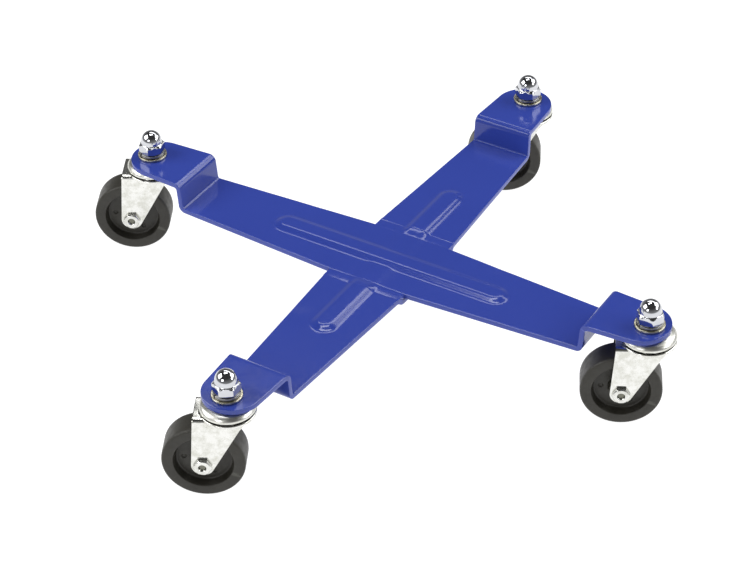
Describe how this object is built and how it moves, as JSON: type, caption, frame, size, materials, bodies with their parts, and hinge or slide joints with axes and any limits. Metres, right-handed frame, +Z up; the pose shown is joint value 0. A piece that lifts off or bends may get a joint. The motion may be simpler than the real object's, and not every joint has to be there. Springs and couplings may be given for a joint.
{
  "type": "wheel dolly",
  "caption": "Low cross-shaped steel dolly on swivel casters, for rolling a vehicle wheel and tyre laid on its arms.",
  "frame": {"origin": "centre of the cross, on the flat crest of the upper bar's pressed bead; the floor is 68.2 mm below", "axes": "+Z up, +X right, -Y front; the bars run along the plan diagonals, and every wheel trails towards -X at rest"},
  "size_m": [0.3979, 0.3746, 0.1115],
  "materials": {
    "blue_paint": "glossy dark blue enamel",
    "chrome": "mirror chrome plate",
    "zinc": "bright zinc plate, slightly mottled",
    "steel": "turned steel",
    "ball_steel": "polished and greased",
    "wheel_moulding": "dark moulded, satin"
  },
  "bodies": {
    "frame": {"upper_bar": "blue_paint", "lower_bar": "blue_paint", "front_weld": "blue_paint", "rear_weld": "blue_paint", "front_left_cap_nut": "chrome", "front_left_spring_washer": "steel", "front_left_washer": "zinc", "front_left_top_cup": "zinc", "front_left_stem": "steel", "front_left_lower_cup": "zinc", "front_right_cap_nut": "chrome", "front_right_spring_washer": "steel", "front_right_washer": "zinc", "front_right_top_cup": "zinc", "front_right_stem": "steel", "front_right_lower_cup": "zinc", "rear_left_cap_nut": "chrome", "rear_left_spring_washer": "steel", "rear_left_washer": "zinc", "rear_left_top_cup": "zinc", "rear_left_stem": "steel", "rear_left_lower_cup": "zinc", "rear_right_cap_nut": "chrome", "rear_right_spring_washer": "steel", "rear_right_washer": "zinc", "rear_right_top_cup": "zinc", "rear_right_stem": "steel", "rear_right_lower_cup": "zinc"},
    "front_left_caster": {"front_left_fork": "zinc", "front_left_axle_bolt": "zinc", "front_left_axle_nut": "zinc", "front_left_axle_sleeve": "steel"},
    "front_left_wheel": {"front_left_wheel": "wheel_moulding"},
    "front_left_balls": {"front_left_upper_balls": "ball_steel", "front_left_lower_balls": "ball_steel"},
    "front_right_caster": {"front_right_fork": "zinc", "front_right_axle_bolt": "zinc", "front_right_axle_nut": "zinc", "front_right_axle_sleeve": "steel"},
    "front_right_wheel": {"front_right_wheel": "wheel_moulding"},
    "front_right_balls": {"front_right_upper_balls": "ball_steel", "front_right_lower_balls": "ball_steel"},
    "rear_left_caster": {"rear_left_fork": "zinc", "rear_left_axle_bolt": "zinc", "rear_left_axle_nut": "zinc", "rear_left_axle_sleeve": "steel"},
    "rear_left_wheel": {"rear_left_wheel": "wheel_moulding"},
    "rear_left_balls": {"rear_left_upper_balls": "ball_steel", "rear_left_lower_balls": "ball_steel"},
    "rear_right_caster": {"rear_right_fork": "zinc", "rear_right_axle_bolt": "zinc", "rear_right_axle_nut": "zinc", "rear_right_axle_sleeve": "steel"},
    "rear_right_wheel": {"rear_right_wheel": "wheel_moulding"},
    "rear_right_balls": {"rear_right_upper_balls": "ball_steel", "rear_right_lower_balls": "ball_steel"}
  },
  "joints": [
    {"name": "front_left_swivel", "type": "hinge", "parent": "frame", "child": "front_left_caster", "pos_m": [-0.1624, -0.1624, 0.0074], "axis": [0, 0, 1], "continuous": true},
    {"name": "front_left_wheel_spin", "type": "hinge", "parent": "front_left_caster", "child": "front_left_wheel", "pos_m": [-0.1809, -0.15657, -0.03645], "axis": [-0.3007, -0.9537, 0], "continuous": true},
    {"name": "front_left_ball_roll", "type": "hinge", "parent": "frame", "child": "front_left_balls", "pos_m": [-0.1624, -0.1624, 0.0074], "axis": [0, 0, 1], "continuous": true},
    {"name": "front_right_swivel", "type": "hinge", "parent": "frame", "child": "front_right_caster", "pos_m": [0.1624, -0.1624, 0.0074], "axis": [0, 0, 1], "continuous": true},
    {"name": "front_right_wheel_spin", "type": "hinge", "parent": "front_right_caster", "child": "front_right_wheel", "pos_m": [0.1439, -0.15657, -0.03645], "axis": [-0.3007, -0.9537, 0], "continuous": true},
    {"name": "front_right_ball_roll", "type": "hinge", "parent": "frame", "child": "front_right_balls", "pos_m": [0.1624, -0.1624, 0.0074], "axis": [0, 0, 1], "continuous": true},
    {"name": "rear_left_swivel", "type": "hinge", "parent": "frame", "child": "rear_left_caster", "pos_m": [-0.1624, 0.1624, 0.0074], "axis": [0, 0, 1], "continuous": true},
    {"name": "rear_left_wheel_spin", "type": "hinge", "parent": "rear_left_caster", "child": "rear_left_wheel", "pos_m": [-0.1809, 0.16823, -0.03645], "axis": [-0.3007, -0.9537, 0], "continuous": true},
    {"name": "rear_left_ball_roll", "type": "hinge", "parent": "frame", "child": "rear_left_balls", "pos_m": [-0.1624, 0.1624, 0.0074], "axis": [0, 0, 1], "continuous": true},
    {"name": "rear_right_swivel", "type": "hinge", "parent": "frame", "child": "rear_right_caster", "pos_m": [0.1624, 0.1624, 0.0074], "axis": [0, 0, 1], "continuous": true},
    {"name": "rear_right_wheel_spin", "type": "hinge", "parent": "rear_right_caster", "child": "rear_right_wheel", "pos_m": [0.1439, 0.16823, -0.03645], "axis": [-0.3007, -0.9537, 0], "continuous": true},
    {"name": "rear_right_ball_roll", "type": "hinge", "parent": "frame", "child": "rear_right_balls", "pos_m": [0.1624, 0.1624, 0.0074], "axis": [0, 0, 1], "continuous": true}
  ],
  "couplings": [
    {"joint": "front_left_ball_roll", "follows": "front_left_swivel", "ratio": 0.5},
    {"joint": "front_right_ball_roll", "follows": "front_right_swivel", "ratio": 0.5},
    {"joint": "rear_left_ball_roll", "follows": "rear_left_swivel", "ratio": 0.5},
    {"joint": "rear_right_ball_roll", "follows": "rear_right_swivel", "ratio": 0.5}
  ]
}
